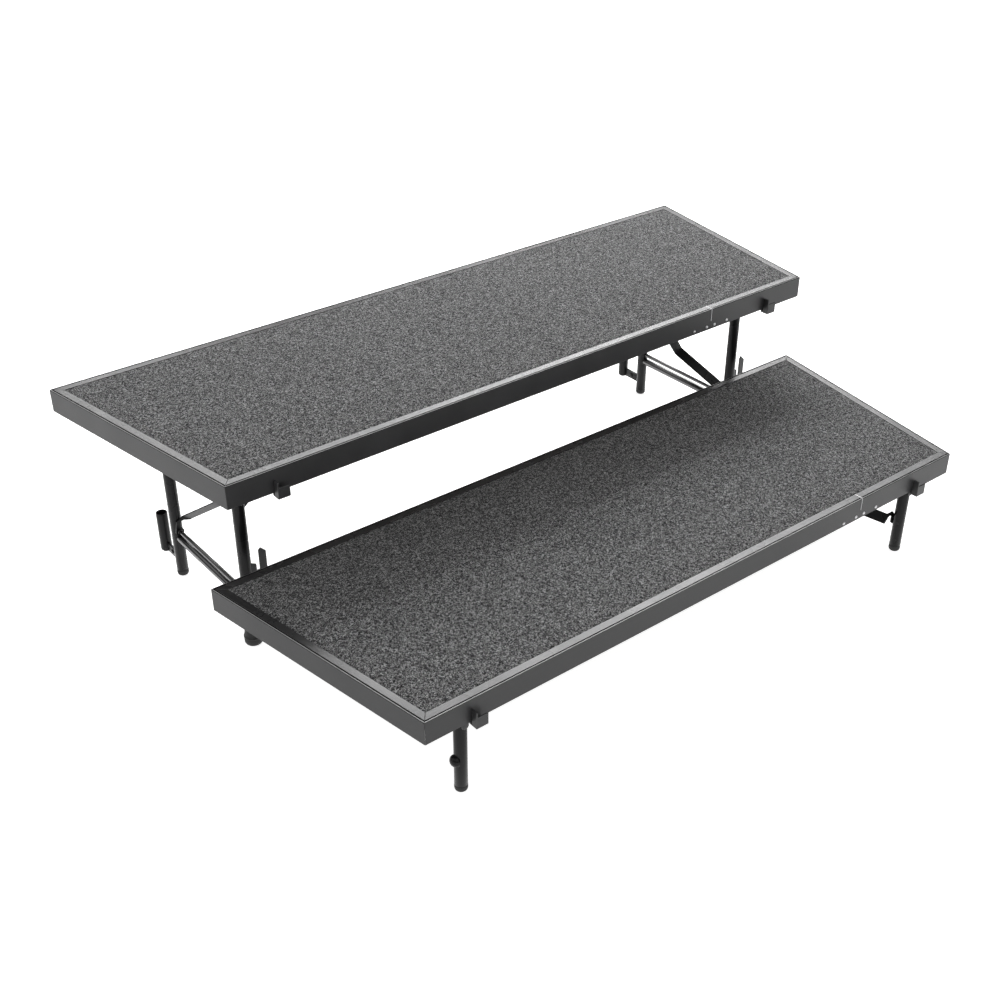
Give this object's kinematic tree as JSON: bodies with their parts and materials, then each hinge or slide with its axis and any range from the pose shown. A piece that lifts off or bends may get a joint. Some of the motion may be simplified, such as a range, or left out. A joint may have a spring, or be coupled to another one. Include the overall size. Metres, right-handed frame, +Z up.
{
  "type": "two-level bench riser",
  "caption": "Two-level standing or bench riser: tapered carpeted decks in mitred metal edge frames on folding tubular leg frames with strip braces.",
  "frame": {"origin": "middle of the footprint, on the floor", "axes": "+X along the front edges to the audience's right, -Y towards the audience, +Z up"},
  "size_m": [1.524, 0.957, 0.4074],
  "materials": {
    "frame": "semi-gloss black powder coat",
    "tube": "gloss black paint",
    "steel": "zinc plated",
    "board": "unfinished plywood",
    "carpet": "speckled grey loop pile",
    "rubber": "matt black moulded"
  },
  "bodies": {
    "upper_deck": {"upper_deck_board": "board", "upper_deck_carpet": "carpet", "upper_front_rail_long": "frame", "upper_front_rail_short": "frame", "upper_rear_rail": "frame", "upper_left_end_rail": "frame", "upper_right_end_rail": "frame", "upper_splice_plate": "steel", "upper_left_front_hook": "frame", "upper_right_front_hook": "frame", "upper_left_leg_channel": "frame", "upper_right_leg_channel": "frame", "upper_left_hinge_rod": "steel", "upper_right_hinge_rod": "steel"},
    "upper_left_legs": {"upper_left_front_leg": "tube", "upper_left_rear_leg": "tube", "upper_left_crossbar": "tube", "upper_left_brace_rod": "tube", "upper_left_front_foot_tip": "rubber", "upper_left_rear_foot_tip": "rubber", "upper_left_socket": "tube", "upper_left_fork": "frame"},
    "upper_left_brace_body": {"upper_left_brace": "tube"},
    "upper_right_legs": {"upper_right_front_leg": "tube", "upper_right_rear_leg": "tube", "upper_right_crossbar": "tube", "upper_right_brace_rod": "tube", "upper_right_front_foot_tip": "rubber", "upper_right_rear_foot_tip": "rubber", "upper_right_socket": "tube", "upper_right_fork": "frame"},
    "upper_right_brace_body": {"upper_right_brace": "tube"},
    "lower_deck": {"lower_deck_board": "board", "lower_deck_carpet": "carpet", "lower_front_rail_long": "frame", "lower_front_rail_short": "frame", "lower_rear_rail": "frame", "lower_left_end_rail": "frame", "lower_right_end_rail": "frame", "lower_splice_plate": "steel", "lower_left_front_hook": "frame", "lower_right_front_hook": "frame", "lower_left_leg_channel": "frame", "lower_right_leg_channel": "frame"},
    "lower_left_legs": {"lower_left_front_leg": "tube", "lower_left_rear_leg": "tube", "lower_left_brace_pin": "tube", "lower_left_front_foot_tip": "rubber", "lower_left_rear_foot_tip": "rubber", "lower_left_hinge_rod": "steel"},
    "lower_left_brace_body": {"lower_left_brace": "tube"},
    "lower_right_legs": {"lower_right_front_leg": "tube", "lower_right_rear_leg": "tube", "lower_right_brace_pin": "tube", "lower_right_front_foot_tip": "rubber", "lower_right_rear_foot_tip": "rubber", "lower_right_hinge_rod": "steel"},
    "lower_right_brace_body": {"lower_right_brace": "tube"}
  },
  "joints": [
    {"name": "upper_left_fold", "type": "hinge", "parent": "upper_deck", "child": "upper_left_legs", "pos_m": [-0.6094, 0.2323, 0.3429], "axis": [0, -1, 0], "range_deg": [0, 90]},
    {"name": "upper_right_fold", "type": "hinge", "parent": "upper_deck", "child": "upper_right_legs", "pos_m": [0.6094, 0.2323, 0.3429], "axis": [0, 1, 0], "range_deg": [0, 90]},
    {"name": "upper_left_brace_swing", "type": "hinge", "parent": "upper_left_legs", "child": "upper_left_brace_body", "pos_m": [-0.6094, 0.2323, 0.1045], "axis": [0, 1, 0], "range_deg": [0, 146.1]},
    {"name": "upper_right_brace_swing", "type": "hinge", "parent": "upper_right_legs", "child": "upper_right_brace_body", "pos_m": [0.6094, 0.2323, 0.1045], "axis": [0, -1, 0], "range_deg": [0, 146.1]},
    {"name": "lower_unit_slide", "type": "slide", "parent": "upper_deck", "child": "lower_deck", "axis": [0, -1, 0], "range_m": [0, 0.6]},
    {"name": "lower_left_fold", "type": "hinge", "parent": "lower_deck", "child": "lower_left_legs", "pos_m": [-0.5411, -0.2607, 0.1397], "axis": [0, -1, 0], "range_deg": [0, 90]},
    {"name": "lower_right_fold", "type": "hinge", "parent": "lower_deck", "child": "lower_right_legs", "pos_m": [0.5411, -0.2607, 0.1397], "axis": [0, 1, 0], "range_deg": [0, 90]},
    {"name": "lower_left_brace_swing", "type": "hinge", "parent": "lower_left_legs", "child": "lower_left_brace_body", "pos_m": [-0.5411, -0.2607, 0.0645], "axis": [0, 1, 0], "range_deg": [0, 114.1]},
    {"name": "lower_right_brace_swing", "type": "hinge", "parent": "lower_right_legs", "child": "lower_right_brace_body", "pos_m": [0.5411, -0.2607, 0.0645], "axis": [0, -1, 0], "range_deg": [0, 114.1]}
  ],
  "couplings": [
    {"joint": "upper_left_brace_swing", "follows": "upper_left_fold", "ratio": 1.6222},
    {"joint": "upper_right_brace_swing", "follows": "upper_right_fold", "ratio": 1.6222},
    {"joint": "lower_left_brace_swing", "follows": "lower_left_fold", "ratio": 1.2667},
    {"joint": "lower_right_brace_swing", "follows": "lower_right_fold", "ratio": 1.2667}
  ]
}
